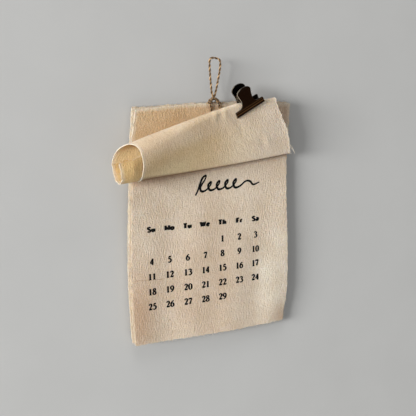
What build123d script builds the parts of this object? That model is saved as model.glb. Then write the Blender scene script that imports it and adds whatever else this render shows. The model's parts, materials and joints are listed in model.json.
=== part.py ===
"""Fabric wall calendar: cloth month pages hung on a twine loop, the first page rolled up and held by a clip.

X runs to the right across the pages, Y from the viewer to the wall, Z up.
The origin is where the twine loop bears on whatever it hangs from.
"""

import os
from math import acos, atan2, cos, hypot, pi, radians, sin, tan

from build123d import *

# Cloth pages
page_width = 152
page_height = 203
sheet_thickness = 0.7
sheet_gap = 0.1
later_sheets = 10
corner_sag = 3
edge_wave = 1.8
wave_shares = (0.35, 0.75)
left_swell = 5
swell_down_shares = (0.12, 0.4, 0.7, 0.9, 1.0)
swell_shares = (0.25, 0.7, 1.0, 0.7, 0.45)
sheet_slip = 1.6

# How far each later page slips sideways and downwards, as shares of the slip
slip_x_shares = (-0.2, -0.5, 0.1, -0.7, -0.3, -1.0, -0.4, -0.8, 0.2, -0.6)
slip_z_shares = (-0.3, 0.4, -0.6, 0.1, 0.7, -0.2, 0.5, -0.8, 0.3, -0.1)

# Hanging twine
twine_diameter = 2.2
twine_clearance = 0.3
loop_drop = 40
loop_offset = 2
hole_spacing = 8
hole_drop = 10
hole_diameter = 3.6
knot_rise = 7
knot_half_width = 2.8
knot_tilt = 20

# Rolled January page
january_length = 189
skew_angle = 8
roll_diameter = 30.9
turn_pitch = 1.15
fold_drop_left = 56.9
fold_drop_right = 43.8
fold_bow = 1.4
flat_fold_radius = 3.6
flat_crest_radius = 2.1
crest_stand_off = 12
roll_height = 53.8
end_straight = 1.2
roll_overhang = 20
round_length = 108
round_power_share = 1.8
girth_power_share = 1.9
edge_stray = 9.7

# How far the rolled page's side edges stray to the left, as shares of the stray, at shares of its length
stray_down_shares = (0, 0.15, 0.34, 0.55, 0.73, 1)
left_stray_shares = (0, 0.33, 0.33, -0.27, 0.7, 0.15)
right_stray_shares = (0, 0.1, 0.2, 1, 0.95, 0.6)

# Bulldog clip
jaw_width = 29
jaw_drop = 6
jaw_turn = 29.4
jaw_swing = 6
clip_lean = 9.1
clip_station = 99.8
plate_thickness = 0.8
lip_reach = 12.2
lip_radius = 1.1
lip_half_gap = 3.6
plate_half_gap = 4.7
plate_bend = 0.9
shoulder_swell = 0.6
jaw_height = 5.5
jaw_corner = 1.2
waist_half_width = 5.6
waist_radius = 4.5
handle_half_width = 6.6
handle_widest = 7.6
handle_reach = 10.8
handle_flare = 0.7
ear_radius = 1.9
ear_clearance = 0.2
pin_diameter = 1.6
pin_clearance = 0.08
pin_head_diameter = 2.6
pin_head_height = 0.6
spring_wire = 0.9
spring_turns = 6
spring_leg = 6
front_leg_share = 0.5
leg_wire_share = 0.94
leg_rise_shares = {-1: 1.0, 1: 0.0}

os.makedirs("parts", exist_ok=True)

# Places that follow from the sizes
page_middle = loop_offset
page_top = -loop_drop
twine_radius = twine_diameter / 2
january_front = twine_radius + twine_clearance
january_back = january_front + sheet_thickness
february_front = january_back + sheet_gap
later_front = february_front + sheet_thickness
hole_places = [(page_middle + side * hole_spacing / 2, page_top - hole_drop) for side in (-1, 1)]


def page_outline(slip_x=0, slip_z=0):
    """One page's outline: corners that sag, uneven side edges and a slightly bowed lower edge."""
    left = page_middle - page_width / 2 + slip_x
    right = left + page_width
    top = page_top + slip_z
    bottom = top - page_height
    middle = (left + right) / 2
    swells = zip(swell_shares, swell_down_shares)
    left_edge = [(left - left_swell * out, top - page_height * down) for out, down in swells]
    with BuildLine() as outline:
        ThreePointArc((left, top), (middle, top + corner_sag), (right, top))
        Spline(
            (right, top),
            (right - edge_wave, top - page_height * wave_shares[0]),
            (right + edge_wave / 2, top - page_height * wave_shares[1]),
            (right - edge_wave, bottom),
        )
        ThreePointArc((right - edge_wave, bottom), (middle, bottom - edge_wave / 2), left_edge[-1])
        Spline(*reversed(left_edge), (left, top))
    return outline.edges()


# February page, the one on show
with BuildPart() as february_page:
    with BuildSketch(Plane.XZ.offset(-later_front)):
        make_face(page_outline())
        with Locations(*hole_places):
            Circle(hole_diameter / 2, mode=Mode.SUBTRACT)
    extrude(amount=sheet_thickness)
february_page.part.label = "february_page"
export_step(february_page.part, "parts/february_page.step")

# March to December, one block whose raw edges lie a little out of line
with BuildPart() as later_pages:
    for sheet in range(later_sheets):
        behind = later_front + (sheet + 1) * sheet_thickness
        slip_x = slip_x_shares[sheet % len(slip_x_shares)] * sheet_slip
        slip_z = slip_z_shares[sheet % len(slip_z_shares)] * sheet_slip
        with BuildSketch(Plane.XZ.offset(-behind)):
            make_face(page_outline(slip_x, slip_z))
            with Locations(*hole_places):
                Circle(hole_diameter / 2, mode=Mode.SUBTRACT)
        extrude(amount=sheet_thickness)
later_pages.part.label = "later_pages"
export_step(later_pages.part, "parts/later_pages.step")

# January page: a sheet rolled forwards along a skew line, round at the left and pressed flat at the right
skew = radians(skew_angle)
january_middle = january_front + sheet_thickness / 2
flat_radii = flat_fold_radius + flat_crest_radius
flat_girth = 2 * (roll_height - flat_radii) + pi * flat_radii
round_girth = 2 * end_straight + pi * (roll_diameter - turn_pitch / 2)


def on_circle(centre, radius, angle):
    """Point of a circle at an angle."""
    return centre[0] + radius * cos(angle), centre[1] + radius * sin(angle)


def arc_run(centre, radius, angle, turn):
    """A run round a circle: its length, and its place at a share of the way, a little outside or inside."""
    return radius * turn, lambda share, outside: on_circle(centre, radius + outside, angle - turn * share)


def straight_run(centre, radius, next_centre, next_radius, angle):
    """A run that leaves one circle and meets the next at the same angle: its length and its place."""

    def place(share, outside):
        start = on_circle(centre, radius + outside, angle)
        end = on_circle(next_centre, next_radius + outside, angle)
        return start[0] + (end[0] - start[0]) * share, start[1] + (end[1] - start[1]) * share

    start = place(0, 0)
    end = place(1, 0)
    return hypot(end[0] - start[0], end[1] - start[1]), place


def belt_angle(centre, radius, next_centre, next_radius):
    """Angle of the radius at which a belt leaves one circle for the next, clockwise round both."""
    step_y = next_centre[0] - centre[0]
    step_height = next_centre[1] - centre[1]
    return atan2(step_height, step_y) + acos((radius - next_radius) / hypot(step_y, step_height))


def roll_circles(along):
    """Fold and crest circles of the roll's section at a distance along it: (y, height) and radius of each."""
    round_part = min(max((along + roll_overhang) / round_length, 0), 1)
    roundness = (1 - round_part) ** round_power_share
    fold_radius = flat_fold_radius + (roll_diameter / 2 - flat_fold_radius) * roundness
    crest_radius = flat_crest_radius + ((roll_diameter - turn_pitch) / 2 - flat_crest_radius) * roundness
    stand_off = turn_pitch + (crest_stand_off - turn_pitch) * (1 - roundness)
    girth = round_girth + (flat_girth - round_girth) * round_part**girth_power_share
    height = (girth - pi * (fold_radius + crest_radius)) / 2 + fold_radius + crest_radius
    width_share = along / page_width
    fold_z = -fold_drop_left + (fold_drop_left - fold_drop_right) * width_share
    fold_z -= fold_bow * sin(pi * min(max(width_share, 0), 1))
    fold_height = (fold_z - along * sin(skew)) / cos(skew)
    fold_centre = (-fold_radius, fold_height + fold_radius)
    crest_centre = (-stand_off - crest_radius, fold_height + height - crest_radius)
    return fold_centre, fold_radius, crest_centre, crest_radius


def roll_runs(along):
    """The sheet's runs in a section: hanging, fold, front, crest, back, then one pitch further in."""
    fold_centre, fold_radius, crest_centre, crest_radius = roll_circles(along)
    circles = []
    for turn in range(3):
        circles.append((fold_centre, fold_radius - turn * turn_pitch))
        circles.append((crest_centre, crest_radius - turn * turn_pitch))
    bound_edge = (-fold_radius, 0)
    runs = [straight_run(bound_edge, fold_radius, fold_centre, fold_radius, 0)]
    angle = 0
    for (centre, radius), (next_centre, next_radius) in zip(circles[:4], circles[1:]):
        leave = belt_angle(centre, radius, next_centre, next_radius)
        runs.append(arc_run(centre, radius, angle, (angle - leave) % (2 * pi)))
        runs.append(straight_run(centre, radius, next_centre, next_radius, leave))
        angle = leave
    return runs


def eased(place, places, values):
    """A value between those at the places on either side, with no kink at any of them."""
    for start, end, low, high in zip(places, places[1:], values, values[1:]):
        if place < end:
            way = max((place - start) / (end - start), 0)
            return low + (high - low) * (1 - cos(pi * way)) / 2
    return values[-1]


def roll_along(across, down):
    """Distance along the roll of a point of the flat sheet: the turns creep to the left as it is rolled."""
    down_share = down / january_length
    left_stray = edge_stray * eased(down_share, stray_down_shares, left_stray_shares)
    right_stray = edge_stray * eased(down_share, stray_down_shares, right_stray_shares)
    stray = left_stray + (right_stray - left_stray) * across / page_width
    return across * cos(skew) - down * sin(skew) - stray


def roll_travel(across, down):
    """Length of sheet between the roll line through the corner and a point of the flat sheet."""
    return down * cos(skew) + across * sin(skew)


def in_part(along, y, height):
    """A place of the roll's tilted section, in the calendar's own directions."""
    x = page_middle - page_width / 2 + along * cos(skew) - height * sin(skew)
    return x, january_middle + y, page_top + along * sin(skew) + height * cos(skew)


def january_point(across, down, outside):
    """Where a point of the flat sheet lies once it is rolled, on its outer or its inner face."""
    along = roll_along(across, down)
    travel = roll_travel(across, down)
    for length, place in roll_runs(along):
        if travel <= length:
            break
        travel -= length
    return in_part(along, *place(travel / length, outside))


def down_at(across, run, share):
    """How far down the flat sheet a share of a run is reached, by halving."""
    low = 0
    high = 2 * january_length
    for _ in range(40):
        down = (low + high) / 2
        lengths = [length for length, _ in roll_runs(roll_along(across, down))]
        if roll_travel(across, down) < sum(lengths[:run]) + share * lengths[run]:
            low = down
        else:
            high = down
    return down


columns = 9
fold_steps = 5
flap_run = 6
acrosses = [page_width * column / (columns - 1) for column in range(columns)]
top_edge = [-corner_sag * (1 - (2 * across / page_width - 1) ** 2) for across in acrosses]
free_edge = [january_length for across in acrosses]


def january_line(downs, outside):
    """A line across the rolled sheet, through one point in each column."""
    return Edge.make_spline([january_point(*place, outside) for place in zip(acrosses, downs)])


def edge_near(face, point):
    """The edge of a face whose middle is nearest to a point."""
    return min(face.edges(), key=lambda edge: (edge.position_at(0.5) - Vector(point)).length)


january_faces = []
half_sheet = sheet_thickness / 2
for run in range(flap_run + 1):
    steps = fold_steps if run % 2 else 2
    rows = [[down_at(across, run, step / steps) for across in acrosses] for step in range(steps + 1)]
    if run == 0:
        rows[0] = top_edge
    if run == flap_run:
        rows[-1] = free_edge
    middle_row = rows[steps // 2]
    if steps == 2:
        middle_row = [(first + last) / 2 for first, last in zip(rows[0], rows[-1])]
        rows = [rows[0], rows[-1]]
    skins = []
    for outside in (half_sheet, -half_sheet):
        lines = [Wire([january_line(row, outside)]) for row in rows]
        skins.append(Shell.make_loft(lines, ruled=len(rows) == 2).faces()[0])
    for column in (0, -1):
        place = (acrosses[column], middle_row[column])
        middles = [january_point(*place, outside) for outside in (half_sheet, -half_sheet)]
        sides = [edge_near(skin, middle) for skin, middle in zip(skins, middles)]
        january_faces.append(Face.make_surface_from_curves(*sides))
    january_faces += skins
for downs in (top_edge, free_edge):
    ends = [january_line(downs, out) for out in (half_sheet, -half_sheet)]
    january_faces.append(Face.make_surface_from_curves(*ends))
january_sheet = Solid(Shell(Face.sew_faces(january_faces)[0]))

with BuildPart() as january_page:
    add(january_sheet)
    with BuildSketch(Plane.XZ.offset(-january_back - twine_clearance)):
        with Locations(*hole_places):
            Circle(hole_diameter / 2)
    extrude(amount=sheet_thickness + 2 * twine_clearance, mode=Mode.SUBTRACT)
january_page.part.label = "january_page"
export_step(january_page.part, "parts/january_page.step")

# Twine: out of the knot, down one leg, through the pages and back, up the other leg and round the loop
twine_route = [
    (-1.9, 0, -34.2),
    (-3.6, 0, -37.8),
    (-2.4, 0, -43.5),
    (-2, 0, -50),
    (-2, 11.3, -50),
    (6, 11.3, -50),
    (6, 0, -50),
    (6.4, 0, -43.5),
    (5.9, 0, -37.8),
    (1.7, 0, -32.5),
    (4.7, 0, -6.2),
    (4.3, 0, 1.1),
    (-3.4, 0, 1.1),
    (-3.9, 0, -6.2),
    (-1.6, 0, -31.6),
]
hole_corners = range(2, 6)
run_share = 0.45


def bend_radii(route):
    """The largest radius that the shorter run beside each corner allows; at a hole, the twine's diameter."""
    radii = []
    for before, corner, after in zip(route, route[1:], route[2:]):
        came = Vector(corner) - Vector(before)
        goes = Vector(after) - Vector(corner)
        half_turn = radians(came.get_angle(goes) / 2)
        radius = run_share * min(came.length, goes.length) / tan(half_turn)
        radii.append(twine_diameter if len(radii) in hole_corners else radius)
    return radii


twine_radii = bend_radii(twine_route)
print("twine bend radii", [round(radius, 1) for radius in twine_radii])
with BuildPart() as hanging_twine:
    with BuildLine() as twine_line:
        FilletPolyline(*twine_route, radius=twine_radii)
    with BuildSketch(Plane(twine_line.line @ 0, z_dir=twine_line.line % 0)):
        Circle(twine_radius)
    sweep()
hanging_twine.part.label = "hanging_twine"
export_step(hanging_twine.part, "parts/hanging_twine.step")
twine_length = sum(edge.length for edge in twine_line.edges())
tube_share = hanging_twine.part.volume / (twine_length * pi * twine_radius**2)
print("twine length", twine_length, "volume share", tube_share)

# Knot: two wraps of the twine that cross round both strands
wrap_depth = twine_diameter + sheet_gap
wrap_straight = knot_half_width + twine_radius - wrap_depth
with BuildPart() as twine_knot:
    for tilt in (-radians(knot_tilt), radians(knot_tilt)):
        middle = (0, 0, page_top + knot_rise)
        level = Plane(middle, x_dir=(cos(tilt), 0, sin(tilt)), z_dir=(-sin(tilt), 0, cos(tilt)))
        with BuildLine(level) as wrap:
            Line((-wrap_straight, -wrap_depth), (wrap_straight, -wrap_depth))
            ThreePointArc(
                (wrap_straight, -wrap_depth), (wrap_straight + wrap_depth, 0), (wrap_straight, wrap_depth)
            )
            Line((wrap_straight, wrap_depth), (-wrap_straight, wrap_depth))
            ThreePointArc(
                (-wrap_straight, wrap_depth), (-wrap_straight - wrap_depth, 0), (-wrap_straight, -wrap_depth)
            )
        with BuildSketch(Plane(wrap.line @ 0, z_dir=wrap.line % 0)):
            Circle(twine_radius)
        sweep()
twine_knot.part.label = "twine_knot"
export_step(twine_knot.part, "parts/twine_knot.step")

# Bulldog clip: its own directions are along the jaw, up the handle and out of the front plate
fold_centre, fold_radius, crest_centre, crest_radius = roll_circles(clip_station)
roll_lean = atan2(crest_centre[0] - fold_centre[0], crest_centre[1] - fold_centre[1])
below_crest = jaw_drop - crest_radius
jaw_middle = in_part(
    clip_station,
    crest_centre[0] - below_crest * sin(roll_lean),
    crest_centre[1] - below_crest * cos(roll_lean),
)
turn = radians(jaw_turn)
swing = radians(jaw_swing)
lean = radians(clip_lean)
along_jaw = Vector(cos(turn) * cos(swing), -sin(swing), sin(turn) * cos(swing))
up_jaw = Vector(-sin(turn), 0, cos(turn))
up_handle = up_jaw * cos(lean) + along_jaw.cross(up_jaw) * sin(lean)
outwards = along_jaw.cross(up_handle)
pin_place = Vector(jaw_middle) + up_handle * lip_reach
clip_face = Plane(pin_place, x_dir=along_jaw, z_dir=outwards)
clip_side = Plane(pin_place, x_dir=up_handle, z_dir=along_jaw)
print("clip pin at", pin_place, "along", along_jaw)

lip_tip = -lip_reach
jaw_top = lip_tip + jaw_height
front_ear = waist_half_width - plate_thickness / 2
back_ear = front_ear - plate_thickness - ear_clearance


def plate_profile(side):
    """The bent strip of a plate seen along the jaw: lip, shoulder, flat and flared handle."""
    return [
        (lip_tip, side * (lip_half_gap + plate_thickness / 2)),
        (lip_tip + lip_radius, side * (plate_half_gap + shoulder_swell)),
        (jaw_top, side * plate_half_gap),
        (handle_widest, side * plate_half_gap),
        (handle_reach, side * (plate_half_gap + handle_flare)),
    ]


def plate_outline():
    """Half of a plate's face, from the lip's middle round the jaw, waist and handle to the tip's middle."""
    jaw_end = jaw_width / 2
    with BuildLine() as half:
        Line((0, lip_tip - plate_thickness), (jaw_end, lip_tip - plate_thickness))
        Line((jaw_end, lip_tip - plate_thickness), (jaw_end, jaw_top - jaw_corner))
        ThreePointArc(
            (jaw_end, jaw_top - jaw_corner),
            (jaw_end - jaw_corner * (1 - sin(pi / 4)), jaw_top - jaw_corner * (1 - sin(pi / 4))),
            (jaw_end - jaw_corner, jaw_top),
        )
        Line((jaw_end - jaw_corner, jaw_top), (waist_half_width + waist_radius, jaw_top))
        ThreePointArc(
            (waist_half_width + waist_radius, jaw_top),
            (waist_half_width + waist_radius * (1 - sin(pi / 4)), jaw_top + waist_radius * (1 - sin(pi / 4))),
            (waist_half_width, jaw_top + waist_radius),
        )
        Spline(
            (waist_half_width, jaw_top + waist_radius),
            (handle_half_width, handle_widest),
            (0, handle_reach),
            tangents=((0, 1), (-1, 0)),
        )
        mirror(about=Plane.YZ)
    return half.edges()


def clip_plate(side, ear):
    """A plate with its two ears; the side is 1 at the front and -1 at the back."""
    with BuildPart() as plate:
        with BuildSketch(clip_side):
            with BuildLine() as strip:
                FilletPolyline(*plate_profile(side), radius=plate_bend)
            trace(strip.edges(), line_width=plate_thickness)
        extrude(amount=jaw_width / 2, both=True)
        with BuildSketch(clip_face):
            make_face(plate_outline())
        extrude(amount=2 * (plate_half_gap + shoulder_swell), both=True, mode=Mode.INTERSECT)
        for ear_place in (-ear, ear):
            with BuildSketch(clip_side.offset(ear_place)):
                Circle(ear_radius)
                with Locations((0, side * plate_half_gap / 2)):
                    Rectangle(2 * ear_radius, plate_half_gap)
            extrude(amount=plate_thickness / 2, both=True)
        with BuildSketch(clip_side):
            Circle(pin_diameter / 2 + pin_clearance)
        extrude(amount=jaw_width, both=True, mode=Mode.SUBTRACT)
    return plate.part


with BuildPart() as clip_front_plate:
    add(clip_plate(1, front_ear))
clip_front_plate.part.label = "clip_front_plate"
export_step(clip_front_plate.part, "parts/clip_front_plate.step")

with BuildPart() as clip_back_plate:
    add(clip_plate(-1, back_ear))
clip_back_plate.part.label = "clip_back_plate"
export_step(clip_back_plate.part, "parts/clip_back_plate.step")

# Pin, with a riveted head outside each ear of the front plate
pin_reach = front_ear + plate_thickness / 2 + ear_clearance
with BuildPart() as clip_pin:
    with BuildSketch(clip_side):
        Circle(pin_diameter / 2)
    extrude(amount=pin_reach, both=True)
    for end in (-1, 1):
        with BuildSketch(clip_side.offset(end * pin_reach)):
            Circle(pin_head_diameter / 2)
        extrude(amount=end * pin_head_height)
clip_pin.part.label = "clip_pin"
export_step(clip_pin.part, "parts/clip_pin.step")

# Spring: close turns round the pin, with a leg against each plate
coil_radius = pin_diameter / 2 + pin_clearance + spring_wire / 2
coil_half = spring_turns * spring_wire / 2
ring_places = [(-coil_half + (ring + 1 / 2) * spring_wire, coil_radius) for ring in range(spring_turns)]
with BuildPart() as clip_spring:
    with BuildSketch(clip_face):
        with Locations(*ring_places):
            Circle(spring_wire / 2)
        with Locations((0, coil_radius)):
            Rectangle(2 * coil_half - spring_wire, spring_wire / 2)
    revolve(axis=Axis(pin_place, along_jaw))
    for side, leg in ((-1, spring_leg), (1, spring_leg * front_leg_share)):
        last_ring = clip_side.offset(-side * (coil_half - spring_wire / 2))
        leg_start = last_ring.from_local_coords((0, side * coil_radius))
        leg_room = plate_half_gap - plate_thickness / 2 - spring_wire - coil_radius
        leg_rise = leg_room * leg_rise_shares[side]
        leg_way = (up_handle * leg + outwards * side * leg_rise).normalized()
        with BuildSketch(Plane(leg_start, z_dir=leg_way)):
            Circle(spring_wire / 2 * leg_wire_share)
        extrude(amount=leg)
clip_spring.part.label = "clip_spring"
export_step(clip_spring.part, "parts/clip_spring.step")
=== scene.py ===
"""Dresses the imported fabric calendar: cloth pages, rolled page, twine, clip, dates and a plain stage."""

import json
from math import acos, atan2, cos, hypot, pi, radians, sin

import bpy
import numpy as np
from bpy.props import FloatProperty, FloatVectorProperty, IntProperty, PointerProperty
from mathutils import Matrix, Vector


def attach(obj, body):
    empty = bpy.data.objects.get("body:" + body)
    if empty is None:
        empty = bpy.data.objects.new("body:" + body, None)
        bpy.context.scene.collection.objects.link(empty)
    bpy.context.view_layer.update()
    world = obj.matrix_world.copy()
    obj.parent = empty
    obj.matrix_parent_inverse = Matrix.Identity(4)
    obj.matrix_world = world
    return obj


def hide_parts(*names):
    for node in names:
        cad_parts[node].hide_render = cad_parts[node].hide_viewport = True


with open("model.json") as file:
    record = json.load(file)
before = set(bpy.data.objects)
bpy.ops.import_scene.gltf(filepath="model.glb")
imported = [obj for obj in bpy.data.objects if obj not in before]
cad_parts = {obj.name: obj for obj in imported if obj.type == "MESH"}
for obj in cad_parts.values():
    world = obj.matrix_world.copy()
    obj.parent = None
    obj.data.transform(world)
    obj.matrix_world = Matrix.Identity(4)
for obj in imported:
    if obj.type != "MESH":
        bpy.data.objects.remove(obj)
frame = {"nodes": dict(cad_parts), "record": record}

bl_info = {
    "name": "Fabric calendar",
    "version": (1, 0, 0),
    "blender": (4, 5, 0),
    "location": "View3D > Sidebar > Calendar",
    "description": "Builds a fabric wall calendar round its packed solids",
    "category": "Object",
}

MM = 0.001
BODY = "calendar"
# Distance from one band to the next in a wave texture of scale 1
WAVE_PERIOD = 2 * pi / 20
# How far the clip's handle leans forwards
HANDLE_LEAN = radians(9.1)


def linear(code):
    """A colour written as sRGB hex, in linear light with alpha."""
    shares = [int(code[place : place + 2], 16) / 255 for place in (1, 3, 5)]
    return tuple(s / 12.92 if s <= 0.04045 else ((s + 0.055) / 1.055) ** 2.4 for s in shares) + (1.0,)


def number_of(name, words, value, **settings):
    """A number that the user may change."""
    return FloatProperty(name=name, description=words, default=value, **settings)


def length_of(name, words, millimetres):
    """A length that the user may change."""
    return number_of(name, words, millimetres * MM, unit="LENGTH", precision=5)


def colour_of(name, words, code):
    """A colour that the user may change."""
    return FloatVectorProperty(name=name, description=words, default=linear(code), size=4, subtype="COLOR")


class CalendarPages(bpy.types.PropertyGroup):
    """Sizes and colours of the cloth pages."""

    width: length_of("Page width", "Width of every page as it was cut", 152)
    height: length_of("Page height", "Height of every page at its sides", 203)
    middle: length_of("Page middle", "How far the pages hang to the right of the loop", 2)
    top: length_of("Page top", "How far the pages' top corners hang below the loop's bearing point", 40)
    front: length_of("Page front", "How far the page on show lies behind the loop", 2.2)
    thickness: length_of("Cloth thickness", "Thickness of one page", 0.55)
    loose: length_of("Loose thread", "Thickness of a loose thread end", 0.17)
    slub: length_of("Slub", "Thickness of the dark thread woven into the page on show", 0.42)
    stray: length_of("Stray thread", "Thickness of a long thread that hangs loose", 0.32)
    pitch: length_of("Page pitch", "Distance from one page to the next", 0.7)
    arch: length_of("Top arch", "How far the top edge rises between its corners", 3)
    wave: length_of("Edge wave", "How far the right edge strays", 1.8)
    swell: length_of("Left swell", "How far the left edge swells out below its corner", 5)
    slip: length_of("Page slip", "How far the pages behind lie out of line", 1.6)
    later: IntProperty(name="Later pages", description="Pages behind the one on show", default=10, min=1)
    light: colour_of("Calico", "Unbleached cotton where the threads stand up", "#f6ead9")
    shade: colour_of("Calico between threads", "Unbleached cotton between the threads", "#dbc9b1")
    # Also painted shade: under the roll on the page on show, and on the rolled page
    brown: colour_of("Handled calico", "Tint of the cloth where it has been handled", "#dcc8b8")
    # Also a painted glow of light through the rolled cloth, and painted shade at the roll's left
    straw_and_painted_glow: colour_of("Rolled calico", "Tint of the cloth that has been rolled up", "#ffefbe")
    dark: colour_of("Dark calico", "Tint under the fold, in place of a shadow in the photograph", "#7a5632")
    edge: colour_of("Cut edge", "Ends of the threads in a cut edge", "#e2d6c1")
    speck: colour_of("Husk speck", "Bits of husk spun into the thread", "#5a4632")


class CalendarRoll(bpy.types.PropertyGroup):
    """Sizes of the first page, rolled up and clipped."""

    length: length_of("Page length", "Length of the rolled page as it was cut", 189)
    skew: number_of("Skew", "Slope of the roll's line", radians(8), subtype="ANGLE")
    diameter: length_of("Roll diameter", "Diameter of the round left end", 30.9)
    pitch: length_of("Turn pitch", "Distance from one turn to the next", 1.15)
    drop_left: length_of("Fold at the left", "How far down the left edge the fold starts", 56.9)
    drop_right: length_of("Fold at the right", "How far down the right edge the fold starts", 43.8)
    bow: length_of("Fold bow", "How far the fold's line sags between its ends", 1.4)
    fold_radius: length_of("Fold radius", "Radius of the fold where the roll is pressed flat", 3.6)
    crest_radius: length_of("Crest radius", "Radius of the crest where the roll is pressed flat", 2.1)
    stand_off: length_of("Crest stand-off", "How far the flat crest stands in front of the pages", 12)
    height: length_of("Flat height", "Height of the roll where it is pressed flat", 53.8)
    straight: length_of("End straight", "Straight part of the round left end", 1.2)
    overhang: length_of("Overhang", "How far the roll starts left of the pages", 20)
    taper: length_of("Taper length", "Length over which the roll flattens", 108)
    power: number_of("Taper power", "How fast the roll flattens", 1.8)
    girth_power: number_of("Girth power", "How fast the roll's girth grows", 1.9)
    stray: length_of("Edge stray", "How far the page's side edges creep to the left as it is rolled", 9.7)
    crown: length_of("Front crown", "How far the front of the roll swells out", 1.2)
    gap: length_of("Roll gap", "How far the rolled page lies in front of the other pages' front", 0.45)


class CalendarTwine(bpy.types.PropertyGroup):
    """Sizes and colours of the twine."""

    diameter: length_of("Twine diameter", "Diameter over the strands", 1.9)
    lay: length_of("Twist length", "Length of one full twist", 7.5)
    hair: length_of("Fibre", "Thickness of a fibre end", 0.1)
    hair_reach: length_of("Fibre reach", "Length of the longest fibre ends", 2.2)
    hair_gap: length_of("Fibre gap", "Distance from one fibre end to the next", 0.5)
    strands: IntProperty(name="Strands", description="Strands laid together", default=2, min=2)
    light: colour_of("Jute", "Jute on the strands' crowns", "#cba371")
    # Painted shade in the grooves between strands
    shade: colour_of("Jute between strands", "Jute in the grooves", "#22140a")


class CalendarClip(bpy.types.PropertyGroup):
    """Finish of the clip."""

    soft: length_of("Soft edge", "Width of the clip's rounded edges", 0.15)
    brown: colour_of("Browned steel", "Oil-browned sheet steel of the front plate", "#27170d")
    black: colour_of("Blackened steel", "Oil-blackened sheet steel of the back plate", "#0f0c0a")
    # Painted highlight along the jaw's lip
    jaw_highlight: colour_of("Rubbed steel", "Browned steel rubbed thin along the jaw", "#6f4f30")
    # Bare steel on the edges, and a painted highlight along the handle's left edge
    wear_and_highlight: colour_of("Worn edge", "Steel that shows where the finish has worn off", "#e8dac4")
    steel: colour_of("Spring steel", "Drawn wire of the pin and spring", "#5b5650")


class CalendarPrint(bpy.types.PropertyGroup):
    """Sizes and colour of the print on the page on show."""

    digit: length_of("Digit height", "Height of the dates", 5.4)
    mark: length_of("Mark height", "Height of the weekday marks", 4.3)
    first: length_of("First column", "Middle of the first weekday, from the page's left edge", 14.22)
    marks: length_of("Row of marks", "How far the weekday marks lie below the loop", 142.44)
    dates: length_of("First week", "How far the first week's dates lie below the loop", 157.29)
    column: length_of("Column pitch", "Distance from one weekday to the next", 17.31)
    row: length_of("Row pitch", "Distance from one week to the next", 13.27)
    weight: number_of("Stroke weight", "Thickness of the strokes as drawn", 1.6)
    spread: number_of("Ink spread", "Share of a figure's height that the ink adds", 0.07)
    digit_wide: number_of("Digit width", "How much wider the dates are drawn", 1.08)
    mark_wide: number_of("Mark width", "How much wider the marks are drawn", 1.35)
    lift: length_of("Print lift", "How far the print lies above the cloth", 0.06)
    ink: colour_of("Printing ink", "Black pigment ink on cloth", "#0b0a0a")


class CalendarStage(bpy.types.PropertyGroup):
    """Camera, lamps, wall and floor."""

    yaw: number_of("Yaw", "Turn to the right", radians(28.328), subtype="ANGLE")
    pitch: number_of("Pitch", "Tilt downwards", radians(10.539), subtype="ANGLE")
    lens: number_of("Lens", "Focal length on a 36 mm frame", 77.885, unit="CAMERA")
    wall: colour_of("Wall", "Matt wall paint", "#c3c3c1")
    floor: colour_of("Floor", "Pale floor far below", "#cfcfcd")
    key: number_of("Window", "Power of the soft lamp at the left", 325, unit="POWER")
    above: number_of("Ceiling", "Power of the soft light from above", 52, unit="POWER")
    room: colour_of("Room", "Room beyond the wall and floor", "#c3c3c1")
    fill: number_of("Fill", "Strength of the light from all round", 0.25)
    sky: colour_of("Fill colour", "Colour of the light from all round", "#f4f4f6")


def feed(tree, node, inputs):
    """Sets a node's inputs, each to a value or from the socket that feeds it."""
    for place, value in inputs.items():
        if isinstance(value, bpy.types.NodeSocket):
            tree.links.new(value, node.inputs[place])
        else:
            node.inputs[place].default_value = value


def add(tree, kind, inputs=None, **settings):
    """Adds a node with its settings and inputs."""
    node = tree.nodes.new(kind)
    for key, value in settings.items():
        setattr(node, key, value)
    feed(tree, node, inputs or {})
    return node


def maths(tree, operation, *terms, **settings):
    """Result of an operation on numbers."""
    return add(tree, "ShaderNodeMath", dict(enumerate(terms)), operation=operation, **settings).outputs[0]


def vector_maths(tree, operation, *terms, result=0):
    """Result of an operation on vectors."""
    return add(tree, "ShaderNodeVectorMath", dict(enumerate(terms)), operation=operation).outputs[result]


def blend(tree, share, first, second, way="MIX"):
    """Mix of two colours."""
    inputs = {0: share, 6: first, 7: second}
    return add(tree, "ShaderNodeMix", inputs, data_type="RGBA", blend_type=way).outputs[2]


def noise(tree, place, scale, detail, distortion=0.0, result=0):
    """A noise pattern at a place."""
    inputs = {"Vector": place, "Scale": scale, "Detail": detail, "Distortion": distortion}
    return add(tree, "ShaderNodeTexNoise", inputs).outputs[result]


def ranged(tree, value, low, high, start=0.0, end=1.0):
    """A value between low and high, moved to the range from start to end."""
    return add(tree, "ShaderNodeMapRange", {0: value, 1: low, 2: high, 3: start, 4: end}).outputs[0]


def marked(tree, name):
    """A named value of the mesh's points."""
    return add(tree, "ShaderNodeAttribute", attribute_name=name).outputs["Fac"]


def bumps(tree, height, strength, distance):
    """Normals of a fine relief."""
    inputs = {"Height": height, "Strength": strength, "Distance": distance}
    return add(tree, "ShaderNodeBump", inputs).outputs[0]


def object_place(tree):
    """Place on the object, in metres."""
    return add(tree, "ShaderNodeTexCoord").outputs["Object"]


def new_material(name):
    """An empty material, its node tree and its shader."""
    material = bpy.data.materials.new(name)
    material.use_nodes = True
    return material, material.node_tree, material.node_tree.nodes["Principled BSDF"]


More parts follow.
